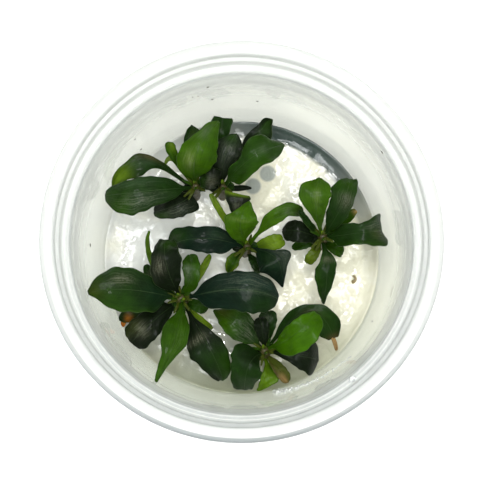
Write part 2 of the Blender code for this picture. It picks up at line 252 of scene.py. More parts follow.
# The gel
# A shallow layer of clear agar gel that holds the roots, poured in warm. It climbs the wall a little,
# closes round each rhizome, and has set with wrinkles and torn ridges that catch the light.

GEL_TOP = 9.0
GEL_EDGE_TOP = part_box("gel")[1].z / MM
GEL_GAP = 0.3
GEL_RINGS = 72
FEET = ((-12.8, 16.8), (-5.3, 16.8), (1.2, 0.9), (21.2, 3.0), (-16.3, -13.2), (6.0, -26.6))
# Each ridge is its two ends, its height and its half width.
RIDGES = (
    ((6, 14), (14, 11), 0.55, 0.7),
    ((8, 10.5), (13, 15), 0.5, 0.5),
    ((12, 17), (19, 9), 0.4, 0.6),
    ((4, 9), (10, 4), 0.35, 0.8),
    ((14, -4), (19, -12), 0.4, 0.7),
    ((13, -1), (16, -9), 0.35, 0.5),
    ((-24, 6), (-15, 7), 0.4, 0.7),
    ((-22, 4), (-17, 2), 0.3, 0.5),
    ((28, -9), (33, -15), 0.5, 0.8),
    ((24, -4), (32, -5), 0.35, 0.6),
    ((-20, -32), (-8, -36), 0.35, 0.6),
    ((-9, -7), (-4, -10), 0.3, 0.5),
)


# Two flat pockets of air lie under the gel at the back, and show through it as grey discs.
AIR_POCKETS = ((7.2, 23.0), (3.1, 19.5))
POCKET_RADIUS = 2.1


def gel_height(x, y):
    """How far the gel's set surface stands above or below its mean level."""
    spot = Vector((x * 0.16, y * 0.16, 3.0))
    rise = 0.42 * noise.fractal(spot, 1.0, 2.0, 4)
    here = Vector((x, y))
    for start, end, height, half in RIDGES:
        start, end = Vector(start), Vector(end)
        run = end - start
        share = min(1.0, max(0.0, (here - start).dot(run) / run.length_squared))
        away = (here - start - run * share).length + 0.9 * noise.noise(Vector((x * 0.7, y * 0.7, 1.0)))
        rise += height * math.exp(-((away / half) ** 2)) * math.sin(math.pi * min(0.9, share + 0.1)) ** 0.5
    for foot in FEET:
        rise += 0.7 * math.exp(-(((here - Vector(foot)).length / 2.6) ** 2))
    return rise


gel_edge = 37.55 - GEL_GAP
gel_flat = gel_edge - 4.0
profile = [(0, FLOOR_TOP + GEL_GAP), (20, FLOOR_TOP + GEL_GAP), (34.4, FLOOR_TOP + GEL_GAP), (35.5, 2.2)]
profile += [(FLOOR_RADIUS - GEL_GAP, 3.3), (gel_edge, GEL_EDGE_TOP - 0.1), (gel_edge - 0.35, GEL_EDGE_TOP)]
profile += [(gel_edge - 0.9, 9.95), (gel_edge - 1.8, 9.45), (gel_edge - 2.9, 9.15)]
profile += [(gel_flat * (1 - ring / GEL_RINGS), GEL_TOP) for ring in range(GEL_RINGS + 1)]
bm = turned(profile, 240)
for vert in bm.verts:
    span = math.hypot(vert.co.x, vert.co.y)
    if vert.co.z > GEL_TOP - 0.01:
        calm = min(1.0, (gel_edge - 0.2 - span) / 3.0)
        vert.co.z += calm * gel_height(vert.co.x, vert.co.y)

nutrient_gel, shader, wire = finish(
    "nutrient_gel",
    {"Transmission Weight": 0.1, "IOR": 1.34, "Coat Weight": 0.6, "Coat Roughness": 0.03},
)
spot, (x, y, z) = place_in(wire)
cloud = grain(spot, 55, 4.0, 0.55)
froth = grain(spot, 420, 5.0, 0.6, 0.6)
wrinkle = grain(spot, 190, 3.0, 0.5, 1.2)
frost = grain(spot, 1300, 3.0, 0.6)
radius = (x * x + y * y) ** 0.5
cream = ((cloud - 0.4) * 4 + x * 12 - y * 6).limited().mix((0.88, 0.90, 0.85, 1), (0.95, 0.93, 0.73, 1))
# Painted reflection: a dark slate band round the far side of the gel's edge, where the meniscus reflects dark
# surroundings. It is mixed into the gel's colour below.
far = (y / radius * 1.3 + x / radius * 0.7 - 0.45).limited()
painted_meniscus_band = ((radius - 0.0325) / 0.0012).limited() * far
# Painted shade: the front of the gel darker and greener, in the shade of the front wall.
cream = ((y + 0.012) / -0.026).limited().mix(cream, (0.40, 0.43, 0.28, 1))
tinted = (painted_meniscus_band * 0.97).mix(cream, (0.035, 0.065, 0.056, 1))
for pocket_x, pocket_y in AIR_POCKETS:
    away = ((x - pocket_x * MM) ** 2 + (y - pocket_y * MM) ** 2) ** 0.5
    inside_it = ((POCKET_RADIUS * MM - away) / 0.0006 + cloud).limited()
    tinted = (inside_it * 0.7).mix(tinted, (0.22, 0.28, 0.29, 1))
tinted.into(shader.inputs["Base Color"])
(0.04 + froth ** 4 * 0.5).into(shader.inputs["Roughness"])
patches = ((cloud - 0.5) * 5).limited()
wire.add(
    "ShaderNodeBump",
    {},
    {"Strength": 0.8, "Distance": 0.0012, "Height": wrinkle * patches + froth * 0.2 + frost * patches * 0.16},
    "Normal",
).into(shader.inputs["Normal"])
gel = piece("set_gel", bm, nutrient_gel)
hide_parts("gel")

# Drops of water hang on the wall at the front right, and one lies on the seat above them.
WALL_SLOPE = (LEDGE[0] - FLOOR_RADIUS) / (LEDGE[1] - 3.0)
DROPS = 44
DROPS_TURN = (-77, -44)
DROPS_HEIGHT = (14.5, 24.5)
SEAT_DROP = (-51.5, 43.9, 45.0, 0.9)


def drop_place(turn, reach, height, size):
    """A flattened drop at an angle round the cup, its broad side along the wall."""
    place = Matrix.Rotation(math.radians(turn), 4, "Z") @ Matrix.Translation((reach, 0, height))
    return place @ Matrix.Diagonal((size * 0.9, size, size, 1))


drop_skin, shader, wire = finish(
    "drop_skin", {"Transmission Weight": 0.6, "IOR": 1.6, "Coat Weight": 1.0, "Coat Roughness": 0.02}
)
spot, axes = place_in(wire)
film = grain(spot, 800)
film.mix((0.97, 0.98, 0.97, 1), (0.90, 0.93, 0.90, 1)).into(shader.inputs["Base Color"])
(0.02 + film * 0.08).into(shader.inputs["Roughness"])
bm = bmesh.new()
for number in range(DROPS):
    along = number * 0.3819 % 1
    turn = DROPS_TURN[0] + (DROPS_TURN[1] - DROPS_TURN[0]) * along
    height = DROPS_HEIGHT[0] + (DROPS_HEIGHT[1] - DROPS_HEIGHT[0]) * along + 3.6 * (number * 0.7245 % 1) - 1.8
    size = 0.22 + 0.6 * (number * 0.618 % 1) ** 3
    place = drop_place(turn, FLOOR_RADIUS + WALL_SLOPE * (height - 3.0) - size * 0.4, height, size)
    bmesh.ops.create_icosphere(bm, subdivisions=2, radius=1.0, matrix=place)
bmesh.ops.create_icosphere(bm, subdivisions=2, radius=1.0, matrix=drop_place(*SEAT_DROP))
drops = piece("water_drops", bm, drop_skin)

# The leaves
# Each leaf is a short round stalk that flattens into a waxy oval blade, folded along its midrib. The
# oldest are nearly black, the youngest bright green. They are grown, and stay on the rhizome.

BLACK = (0.0045, 0.0085, 0.0030)
BLUE_BLACK = (0.0035, 0.0115, 0.0060)
DARK = (0.008, 0.026, 0.003)
DEEP = (0.013, 0.042, 0.002)
MID = (0.017, 0.052, 0.001)
BRIGHT = (0.030, 0.080, 0.001)
FRESH = (0.032, 0.096, 0.0005)
LIME = (0.10, 0.17, 0.008)
OLIVE = (0.045, 0.060, 0.006)
BROWN = (0.060, 0.038, 0.016)
TAN = (0.34, 0.21, 0.085)
ORANGE = (0.36, 0.12, 0.015)
# The grey, green grey, blue grey, beige and pale colours paint sheens and glints where light catches the blades:
# painted highlights, laid over wax bloom. The pale one also paints a pale patch on the back left plant's bright
# leaf.
GREY_SHEEN = (0.060, 0.082, 0.058)
GREEN_GREY_SHEEN = (0.030, 0.060, 0.028)
BLUE_GREY_SHEEN = (0.036, 0.070, 0.050)
BEIGE_SHEEN = (0.110, 0.105, 0.068)
PALE_PATCH_AND_SHEEN = (0.16, 0.22, 0.05)

STALK_HALF = 0.5
TIP_HALF = 0.2
FOLD_OPENS = 0.25
HOOK_STARTS = 0.7
BLADE_THICKNESS = 0.42
CRUMPLE = 0.35
STALK_THICKNESS = 1.0
BLADE_CELLS = (36, 12)
OUTLINE_PLACES = (0.0, 0.1, 0.3, 0.5, 0.7, 0.9, 1.0)


@dataclass
class Leaf:
    """One leaf. Its form is the solid's: the height where its stalk leaves the rhizome, two points of its
    midrib, its width, the place of its widest part, how blunt it is, its stalk's share, its roll at the
    stalk and at the tip, the slope of its halves, its edge's waves and how far its tip hooks down.

    left and right are the blade's half widths on either side of the midrib, at the outline's places from
    the second on; without them the width is shaped by belly and blunt. curl is how far its left and right
    edges turn up. Each mark is its place along and across the blade, its reach along and across, its
    colour, its strength and how much wax bloom and painted sheen it has; the sheen marks are painted
    highlights where light catches the blade.
    """

    seat: float
    middle: tuple
    tip: tuple
    width: float
    colour: tuple
    marks: tuple = ()
    belly: float = 0.5
    blunt: float = 0.8
    stalk: float = 0.1
    roll: tuple = (0, 0)
    fold: float = 10
    wave: float = 0.3
    waves: float = 1.5
    hook: float = 0.0
    curl: tuple = (0.0, 0.0)
    left: tuple = ()
    right: tuple = ()


@dataclass
class Plant:
    """One plant: where its rhizome leaves the gel, where its top is, its thickness and its leaves."""

    foot: tuple
    top: tuple
    radius: float
    leaves: tuple


def rhizome_axis(plant, height):
    share = max(0.0, height - GEL_TOP) / (plant.top[2] - GEL_TOP)
    return Vector((*plant.foot, 0)).lerp(Vector((*plant.top[:2], 0)), share) + Vector((0, 0, height))


def midrib(leaf, start, share):
    """A point of the curve from the stalk's start through the middle to the tip, and the way it runs."""
    middle, tip = Vector(leaf.middle), Vector(leaf.tip)
    pull = 2 * middle - (start + tip) / 2
    point = (1 - share) ** 2 * start + 2 * share * (1 - share) * pull + share**2 * tip
    way = 2 * (1 - share) * (pull - start) + 2 * share * (tip - pull)
    past = max(0.0, share - HOOK_STARTS) / (1 - HOOK_STARTS)
    point.z -= leaf.hook * past**2
    way.z -= leaf.hook * 2 * past / (1 - HOOK_STARTS)
    return point, way.normalized()


def traced(values, along):
    """A smooth curve through one side's half widths, from the stalk to the tip."""
    places = OUTLINE_PLACES
    values = (STALK_HALF, *values, TIP_HALF)[: len(places)]
    last = len(places) - 1
    slopes = []
    for index in range(len(places)):
        low, high = max(0, index - 1), min(last, index + 1)
        slopes.append((values[high] - values[low]) / (places[high] - places[low]))
    index = min(last - 1, sum(along >= place for place in places) - 1)
    run = places[index + 1] - places[index]
    part = (along - places[index]) / run
    rise = values[index] + (values[index + 1] - values[index]) * part * part * (3 - 2 * part)
    bend = slopes[index] * (1 - part) - slopes[index + 1] * part
    return rise + bend * run * part * (1 - part)


def half_width(leaf, along, across):
    """The blade's half width on the side that across is on, at a share of the blade's own length."""
    if along <= 0:
        return STALK_HALF
    side = leaf.right if across > 0 else leaf.left
    if side:
        return max(TIP_HALF, traced(side, min(1.0, along)))
    bent = along ** (math.log(0.5) / math.log(leaf.belly))
    swell = max(0.0, math.sin(math.pi * min(1.0, bent)))
    ends = STALK_HALF + (TIP_HALF - STALK_HALF) * along
    return ends + max(0.0, leaf.width / 2 - ends) * swell**leaf.blunt


def blade_point(leaf, start, share, across):
    """A point of the leaf's middle surface. across runs from -1, its left edge, to 1, its right edge."""
    point, way = midrib(leaf, start, share)
    right = Vector((way.y, -way.x, 0)).normalized()
    roll = math.radians(leaf.roll[0] + (leaf.roll[1] - leaf.roll[0]) * share)
    right = Matrix.Rotation(-roll, 3, way) @ right
    up = right.cross(way)
    along = (share - leaf.stalk) / (1 - leaf.stalk)
    phase = 7 * leaf.seat + 3 * leaf.width
    opened = min(1.0, max(0.0, along) / FOLD_OPENS)
    half = half_width(leaf, along, across)
    half *= 1 + 0.035 * opened * math.sin(31 * along + phase + 2 * across)
    fold = math.radians(leaf.fold) * opened
    bow = 0.45 * across**2 + 0.55 * abs(across)
    ripple = leaf.wave * math.sin(math.tau * leaf.waves * along) * across**2
    ripple += 0.02 * leaf.width * math.sin(23 * along + phase + 1.5 * across) * across**4
    ripple += CRUMPLE * noise.noise(Vector((5 * along, 2.2 * across, phase)))
    edge = leaf.curl[1] if across > 0 else leaf.curl[0]
    swell = math.sin(math.pi * min(1.0, max(0.0, along)))
    out = right * (half * across * math.cos(fold) * (1 - 0.12 * min(1.0, abs(edge)) * across**4 * swell))
    return point + out + up * (half * bow * math.sin(fold) + opened * ripple + edge * swell * across**4)


def tone(leaf, share, across):
    """The blade's colour, its wax bloom and its painted sheen at a place."""
    colour, bloom_and_sheen = Vector(leaf.colour), 0.0
    for place, side, reach, width, paint, strength, wax_and_sheen in leaf.marks:
        cover = strength * math.exp(-(((share - place) / reach) ** 2) - ((across - side) / width) ** 2)
        colour = colour.lerp(Vector(paint), cover * (1 - 0.65 * wax_and_sheen))
        bloom_and_sheen += wax_and_sheen * cover
    return (*colour, min(1.0, bloom_and_sheen))


def leaf_finish(name, rib, vein, roughness, coat):
    """A waxy blade: its own tone, a pale midrib, faint side veins, a thin pale edge and a fine grain."""
    made, shader, wire = finish(name, {"IOR": 1.45, "Specular IOR Level": 0.05, "Coat Roughness": 0.07})
    spot, axes = place_in(wire)
    tinted = wire.add("ShaderNodeAttribute", {"attribute_name": "tone"}, {}, "Color")
    bloom_and_sheen = Wire(wire.tree, tinted.socket.node.outputs["Alpha"])
    blade = wire.add("ShaderNodeUVMap", {"uv_map": "blade"}, {})
    u = blade.add("ShaderNodeSeparateXYZ", {}, {0: blade}, "X")
    across = abs(blade.add("ShaderNodeSeparateXYZ", {}, {0: blade}, "Y") * 2 - 1)
    cells = grain(spot, 2600, 3.0, 0.6)
    blotch = grain(spot, 320, 4.0, 0.55)
    wobble = grain(spot, 500, 2.0)
    along_it = blade.add("ShaderNodeCombineXYZ", {}, {0: u * 5, 1: across * 15})
    streak = grain(along_it, 1.0, 4.0, 0.6, 0.4)
    rib_line = (1 - across / (0.045 - u * 0.02)).limited()
    veins = (u * 9 - across * 1.6 + wobble * 0.35).maths("FRACT", u * 9 - across * 1.6 + wobble * 0.35)
    vein_line = (1 - abs(veins - 0.5) / 0.12).limited() * (1 - across).limited()
    rim_line = ((across - 0.93) / 0.07).limited()
    shade = blotch * 1.1 + streak * 0.9
    body = wire.add("ShaderNodeVectorMath", {"operation": "SCALE"}, {0: tinted, "Scale": shade})
    body = (rib_line * rib).limited().mix(body, (0.055, 0.095, 0.035, 1))
    body = (vein_line * vein).limited().mix(body, (0.03, 0.06, 0.018, 1))
    body = (rim_line * 0.45).mix(body, (0.05, 0.09, 0.02, 1))
    # Painted sheen: where a mark carries bloom, pale grey streaks and specks stand in for light caught on the wax.
    sheen_speckle = ((cells - 0.5) * 4 + (streak - 0.5) * 9 + 0.3).limited()
    body = (bloom_and_sheen * sheen_speckle * 0.8).limited().mix(body, (0.19, 0.20, 0.14, 1))
    body.into(shader.inputs["Base Color"])
    (roughness + blotch * 0.16 + bloom_and_sheen * 0.18).into(shader.inputs["Roughness"])
    (coat * (1 - bloom_and_sheen * 0.7)).limited().into(shader.inputs["Coat Weight"])
    relief = vein_line * -0.25 - rib_line * 0.8 + cells * 0.3 + blotch * 0.7 + streak * 0.35
    wire.add("ShaderNodeBump", {}, {"Strength": 0.5, "Distance": 0.0003, "Height": relief}, "Normal").into(
        shader.inputs["Normal"]
    )
    return made


LEAF_FINISHES = {
    "leaf_dark": leaf_finish("leaf_dark", 0.30, 0.10, 0.28, 0.07),
    "leaf_deep_green": leaf_finish("leaf_deep_green", 0.42, 0.14, 0.28, 0.07),
    "leaf_bright_green": leaf_finish("leaf_bright_green", 0.30, 0.12, 0.30, 0.06),
    "leaf_yellow_green": leaf_finish("leaf_yellow_green", 0.25, 0.10, 0.34, 0.08),
    "leaf_browned": leaf_finish("leaf_browned", 0.20, 0.20, 0.50, 0.05),
}
SLOTS = {sub["node"]: sub["material_slot"] for sub in frame["record"]["subparts"]}


def blade_mesh(plant, leaf, cells):
    """The leaf's middle surface as a grid laid along its midrib, its tones and its stalk's weights."""
    toward = Vector(leaf.middle) - rhizome_axis(plant, leaf.seat)
    toward.z = 0
    start = rhizome_axis(plant, leaf.seat) + toward.normalized() * plant.radius * 0.6
    bm = bmesh.new()
    bm.loops.layers.uv.new("blade")
    painted = bm.verts.layers.float_color.new("tone")
    thick = bm.verts.layers.deform.verify()
    bmesh.ops.create_grid(bm, x_segments=cells[0], y_segments=cells[1], size=1.0, calc_uvs=True)
    for vert in bm.verts:
        share, across = (vert.co.x + 1) / 2, -vert.co.y
        vert[painted] = tone(leaf, share, across)
        vert[thick][0] = max(0.0, 1 - max(0.0, share - leaf.stalk) / 0.18) ** 2 * (1 - 0.4 * abs(across))
        vert.co = blade_point(leaf, start, share, across)
    return bm


def thickened(made, stalk=STALK_THICKNESS):
    """Gives a leaf's sheet its thickness, most in the stalk, and a soft edge."""
    made.vertex_groups.new(name="stalk")
    wall = made.modifiers.new("thickness", "SOLIDIFY")
    wall.thickness = stalk * MM
    wall.offset = 0.0
    wall.vertex_group = "stalk"
    wall.thickness_vertex_group = min(1.0, BLADE_THICKNESS / stalk)
    soft = made.modifiers.new("soft", "SUBSURF")
    soft.levels = 1
    soft.render_levels = 1


# The rhizomes
# A short, thick, creeping stem, olive brown, ringed with the scars of old leaves. Its foot is set in the
# gel, and young leaves stand rolled up round its top.

RHIZOME_RINGS = ((0.0, 0.6), (0.08, 0.85), (0.3, 1.0), (0.55, 0.86), (0.75, 1.0), (0.92, 0.8), (1.0, 0.45))
RHIZOME_BOTTOM = 5.4
GOLDEN_TURN = math.radians(137.5)
# Each kind is its reach, its rise, its width, how far below the top it starts, and its colours.
SHOOT_KINDS = (
    (1.3, 1.9, 0.9, 0.5, (OLIVE, MID, LIME)),
    (4.2, 1.0, 0.9, 1.2, (OLIVE, DEEP, OLIVE)),
    (3.6, 0.2, 3.2, 2.4, (DARK, BLACK, DEEP)),
    (3.4, 1.6, 0.8, 0.9, (OLIVE, OLIVE, MID)),
)

rhizome_finish, shader, wire = finish("rhizome", {"Coat Weight": 0.25, "Coat Roughness": 0.15})
spot, (x, y, z) = place_in(wire)
patch = grain(spot, 900, 4.0, 0.6)
scars = (z * 900 + patch * 2.2).maths("SINE", z * 900 + patch * 2.2) * 0.5 + 0.5
patch.mix((0.012, 0.012, 0.003, 1), (0.10, 0.085, 0.02, 1)).into(shader.inputs["Base Color"])
(0.35 + patch * 0.3).into(shader.inputs["Roughness"])
wire.add(
    "ShaderNodeBump", {}, {"Strength": 0.6, "Distance": 0.0003, "Height": scars + patch * 0.8}, "Normal"
).into(shader.inputs["Normal"])


def girth(share):
    """The rhizome's girth at a share of its height, between the solid's rings."""
    for (low, low_girth), (high, high_girth) in zip(RHIZOME_RINGS, RHIZOME_RINGS[1:]):
        if share <= high:
            return low_girth + (high_girth - low_girth) * (share - low) / (high - low)
    return RHIZOME_RINGS[-1][1]


def grow_rhizome(name, plant):
    """The stem, its scars as shallow steps, with knobs where old stalks broke off."""
    bm = bmesh.new()
    rings = []
    steps = 24
    for step in range(steps + 1):
        share = step / steps
        height = RHIZOME_BOTTOM + share * (plant.top[2] - RHIZOME_BOTTOM)
        size = plant.radius * girth(share) * (1 + 0.06 * math.sin(9 * math.tau * share))
        place = Matrix.Translation(rhizome_axis(plant, height))
        ring = bmesh.ops.create_circle(bm, segments=20, radius=size, matrix=place)["verts"]
        for vert in ring:
            middle = rhizome_axis(plant, height)
            knob = noise.noise(vert.co * 0.9 + Vector((plant.radius * 10, 0, 0)))
            vert.co = middle + (vert.co - middle) * (1 + 0.22 * knob)
        rings.append([edge for edge in bm.edges if all(vert in ring for vert in edge.verts)])
    for lower, upper in zip(rings, rings[1:]):
        bmesh.ops.bridge_loops(bm, edges=lower + upper)
    bmesh.ops.holes_fill(bm, edges=rings[0] + rings[-1], sides=0)
    stem = piece(f"{name}_stem", bm, rhizome_finish)
    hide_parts(f"{name}_rhizome")


def sprout(name, plant, leaf, slot, cells=(10, 4), stalk=STALK_THICKNESS):
    """A small leaf that no solid stands for."""
    made = piece(name, blade_mesh(plant, leaf, cells), LEAF_FINISHES[slot])
    thickened(made, stalk)


def grow_shoots(name, plant, count):
    """Young leaves still rolled into spikes, thin stalks and the bases of old leaves, round the top."""
    for number in range(count):
        reach, rise, width, drop, paints = SHOOT_KINDS[number % len(SHOOT_KINDS)]
        turn = GOLDEN_TURN * number + plant.radius
        reach *= 0.8 + 0.4 * (number * 0.618 % 1)
        seat = plant.top[2] - drop
        out = Vector((math.cos(turn), math.sin(turn), 0))
        root = rhizome_axis(plant, seat)
        middle = root + out * reach * 0.5 + Vector((0, 0, rise * 0.7))
        tip = root + out * reach + Vector((0, 0, rise))
        paint = paints[number // len(SHOOT_KINDS) % len(paints)]
        young = Leaf(seat, tuple(middle), tuple(tip), width, paint, fold=35, wave=0, stalk=0.05)
        sprout(f"{name}_shoot_{number + 1}", plant, young, "leaf_yellow_green", (8, 4), 0.6)


def grow(name, plant, shoots):
    """A whole plant, each leaf standing for the solid leaf of its number."""
    grow_rhizome(name, plant)
    grow_shoots(name, plant, shoots)
    for number, leaf in enumerate(plant.leaves, 1):
        node = f"{name}_leaf_{number}"
        made = piece(f"{name}_blade_{number}", blade_mesh(plant, leaf, BLADE_CELLS), LEAF_FINISHES[SLOTS[node]])
        thickened(made)
        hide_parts(node)


# The back left plant
# Five broad leaves fan out to the back and the left round a dark crown. The youngest stands over them.

back_left = Plant(
    foot=(-12.8, 16.8),
    top=(-12.2, 17.8, 21.0),
    radius=1.5,
    leaves=(
        Leaf(
            20.0, (-11.5, 24.7, 33), (-5.9, 34.0, 27), 10.5, BRIGHT, roll=(8, -14), fold=-12,
            left=(4.2, 4.9, 4.2, 2.6, 1.8), right=(3.6, 5.4, 5.5, 4.4, 2.0),
            marks=(
                (0.14, 0.1, 0.10, 0.7, DEEP, 0.8, 0.0), (0.36, -0.30, 0.12, 0.28, PALE_PATCH_AND_SHEEN, 0.75, 0.6),
                (0.80, -0.35, 0.10, 0.45, GREY_SHEEN, 0.55, 0.5), (0.60, 0.75, 0.35, 0.35, MID, 0.7, 0.0),
                (0.70, 0.1, 0.05, 0.5, DEEP, 0.5, 0.0),
            ),
        ),
        Leaf(
            19.0, (-25.2, 14.8, 30.5), (-36.0, 14.4, 25), 11.0, DARK, fold=-14,
            left=(2.6, 4.0, 5.4, 5.9, 3.9, 1.6), right=(2.8, 4.1, 4.2, 3.4, 2.5, 1.2),
            marks=(
                (0.55, -0.45, 0.25, 0.35, GREY_SHEEN, 0.45, 0.7), (0.82, -0.65, 0.16, 0.5, MID, 0.8, 0.1),
                (0.60, 0.60, 0.30, 0.30, GREEN_GREY_SHEEN, 0.5, 0.3), (0.85, 0.2, 0.2, 0.4, DEEP, 0.7, 0.0),
            ),
        ),
        Leaf(
            15.5, (-16.4, 12.8, 22), (-23.6, 11.0, 17), 8.2, BLACK, fold=-14, stalk=0.15,
            left=(4.0, 3.6, 3.5, 3.0, 2.0, 1.0), right=(3.0, 3.8, 4.0, 4.3, 3.2, 1.6),
            marks=((0.65, -0.5, 0.35, 0.40, GREY_SHEEN, 0.38, 0.7), (0.9, -0.6, 0.12, 0.4, DEEP, 0.8, 0.0)),
        ),
        Leaf(
            16.0, (-25.6, 23.2, 25), (-34.2, 17.2, 21), 5.0, DARK, wave=0.6,
            left=(0.5, 1.0, 3.4, 3.3, 1.4), right=(0.6, 1.6, 2.8, 1.6, 1.4),
            marks=(
                (0.45, 0.8, 0.12, 0.4, BROWN, 0.6, 0.2), (0.55, 0.0, 0.2, 0.3, GREEN_GREY_SHEEN, 0.4, 0.2),
                (0.88, 0.0, 0.16, 1.2, LIME, 0.9, 0.0),
            ),
        ),
        Leaf(
            19.5, (-17.4, 24.2, 26), (-18.9, 28.3, 28), 2.8, MID, belly=0.75, blunt=0.4,
            marks=((0.85, 0.4, 0.2, 0.8, LIME, 0.6, 0.0),),
        ),
        Leaf(
            14.5, (-14.2, 27.6, 23), (-13.2, 33.6, 23), 7.0, DARK, fold=10,
            left=(0.5, 0.8, 1.2, 1.0, 0.4), right=(1.0, 2.0, 3.0, 3.0, 2.5),
            marks=((0.6, 0.4, 0.25, 0.4, OLIVE, 0.4, 0.1),),
        ),
    ),
)
grow("back_left", back_left, 14)
curled = Leaf(
    19.0, (-17.6, 24.2, 25), (-20.6, 22.9, 22.5), 2.0, (0.10, 0.16, 0.02), fold=-30, stalk=0.05, hook=0.8, wave=0.0
)
sprout("back_left_curled_leaf", back_left, curled, "leaf_yellow_green")

# The back plant
# Five leaves close against the back left plant, two of them dull with wax and a painted sheen, one glossy and
# wavy.

back = Plant(
    foot=(-5.3, 16.8),
    top=(-4.9, 17.8, 20.5),
    radius=1.4,
    leaves=(
        Leaf(
            17.0, (-4.6, 24.3, 27), (-1.2, 31.0, 25), 8.6, BLACK, fold=-8,
            left=(2.5, 3.0, 3.4, 3.4, 1.5), right=(1.5, 2.5, 3.6, 3.8, 2.6),
            marks=((0.62, 0.1, 0.30, 0.6, GREY_SHEEN, 0.42, 0.5), (0.9, -0.2, 0.12, 0.6, DEEP, 0.8, 0.0)),
        ),
        Leaf(
            19.5, (-7.5, 18.6, 25), (-11.0, 18.8, 22), 7.6, BLACK, stalk=0.2,
            left=(1.0, 2.2, 3.0, 2.6, 1.6), right=(3.0, 3.2, 3.4, 3.4, 2.6, 1.5),
            marks=((0.55, -0.2, 0.22, 0.5, BEIGE_SHEEN, 0.42, 0.8), (0.9, -0.2, 0.15, 0.8, DEEP, 0.8, 0.0)),
        ),
        Leaf(
            19.0, (2.2, 23.0, 32), (11.3, 28.0, 26), 9.5, DEEP, wave=1.0, waves=2.0,
            left=(1.8, 2.0, 4.0, 4.5, 2.0), right=(3.3, 3.8, 3.5, 3.7, 2.2),
            marks=(
                (0.72, -0.1, 0.10, 0.3, GREY_SHEEN, 0.35, 0.4), (0.5, 0.85, 0.4, 0.25, MID, 0.7, 0.0),
                (0.3, -0.4, 0.2, 0.4, DARK, 0.7, 0.0),
            ),
        ),
        Leaf(
            15.0, (2.4, 28.6, 23.5), (8.1, 35.4, 23), 5.6, BLACK,
            left=(1.0, 1.5, 2.3, 1.6, 1.4), right=(1.2, 2.5, 3.5, 3.6, 1.2),
            marks=((0.8, 0.2, 0.2, 0.6, DEEP, 0.8, 0.0),),
        ),
        Leaf(
            13.5, (-5.6, 28.5, 20.5), (-5.1, 36.0, 22), 7.0, DARK,
            left=(0.8, 1.6, 2.8, 3.0, 2.8, 2.4), right=(0.8, 1.6, 2.2, 2.4, 3.0, 2.8),
            marks=((0.7, -0.2, 0.2, 0.6, DEEP, 0.6, 0.0),),
        ),
    ),
)
grow("back", back, 12)
short = Leaf(16.0, (-0.8, 17.6, 18), (2.8, 17.7, 17), 1.8, BLACK, fold=-20, stalk=0.05)
sprout("back_short_leaf", back, short, "leaf_dark")

# The centre plant
# Nine leaves of all ages on a thin crown: bright young ones stand up, old dark ones lie out.

centre = Plant(
    foot=(1.2, 0.9),
    top=(1.5, 1.7, 20.0),
    radius=1.4,
    leaves=(
        Leaf(
            19.2, (-0.3, 6.8, 29), (2.3, 12.5, 27), 7.8, BRIGHT, fold=-8,
            left=(2.4, 3.9, 4.3, 2.0, 0.9), right=(3.5, 4.4, 4.8, 4.2, 2.1),
            # Painted highlight: a pale line across the blade where its crease catches the light.
            marks=((0.55, 0.0, 0.05, 0.9, PALE_PATCH_AND_SHEEN, 0.25, 0.3), (0.9, 0.2, 0.1, 0.6, FRESH, 0.5, 0.0)),
        ),
        Leaf(
            16.5, (-1.4, 9.6, 23), (-1.4, 15.2, 24), 7.0, BLACK, fold=6,
            left=(0.6, 0.8, 1.2, 1.9, 2.9, 3.1), right=(0.6, 1.5, 2.5, 3.5, 4.1, 3.8),
            marks=((0.62, 0.1, 0.18, 0.45, BEIGE_SHEEN, 0.40, 0.9), (0.97, 0.0, 0.055, 1.4, LIME, 0.9, 0.0)),
        ),
        Leaf(14.5, (-4.6, 9.4, 19), (-8.3, 15.6, 21), 1.8, LIME, blunt=0.5),
        Leaf(
            18.5, (9.0, 8.5, 28), (16.0, 9.7, 22), 5.4, BRIGHT, roll=(10, -30), hook=1.5,
            left=(0.4, 1.9, 2.2, 2.8, 2.0), right=(0.8, 1.7, 1.9, 1.0, 0.8),
            marks=((0.72, 0.0, 0.10, 0.8, GREY_SHEEN, 0.45, 0.5), (1.0, 0.0, 0.12, 1.2, BLACK, 0.9, 0.0)),
        ),
        Leaf(
            18.0, (-10.1, 3.1, 25), (-19.8, 1.6, 19), 7.8, BLUE_BLACK, fold=-12, hook=2.0,
            left=(3.1, 3.9, 3.6, 2.6, 1.0), right=(2.5, 3.6, 3.3, 3.8, 3.6),
            marks=((0.9, 0.4, 0.2, 0.6, DEEP, 0.8, 0.0), (0.3, 0.4, 0.12, 0.3, GREEN_GREY_SHEEN, 0.4, 0.2)),
        ),
        Leaf(
            15.5, (7.5, 2.4, 20), (11.3, 3.3, 19), 4.4, LIME, belly=0.6, blunt=0.5,
            marks=((0.2, 0, 0.2, 1, MID, 0.5, 0.0),),
        ),
        Leaf(
            17.0, (9.1, -2.0, 24), (10.8, -9.1, 18), 8.0, BLUE_BLACK, fold=-8,
            left=(0.4, 1.4, 4.2, 1.6, 0.4), right=(3.7, 5.6, 5.9, 5.1, 1.8),
            marks=((0.55, -0.55, 0.28, 0.35, GREY_SHEEN, 0.35, 0.6), (0.4, 0.3, 0.3, 0.4, DARK, 0.5, 0.0)),
        ),
        Leaf(
            14.0, (-2.0, -2.0, 17), (-3.5, -5.0, 15), 3.8, MID,
            left=(0.5, 1.1, 1.8, 1.5, 0.6), right=(1.1, 1.8, 2.1, 1.6, 0.9),
            marks=((0.75, 0.9, 0.4, 0.3, LIME, 0.6, 0.0), (0.75, -0.9, 0.4, 0.3, LIME, 0.6, 0.0)),
        ),
        Leaf(12.5, (3.6, -2.4, 15.5), (5.0, -4.8, 14), 2.8, DARK, belly=0.6, blunt=0.5),
    ),
)
grow("centre", centre, 14)

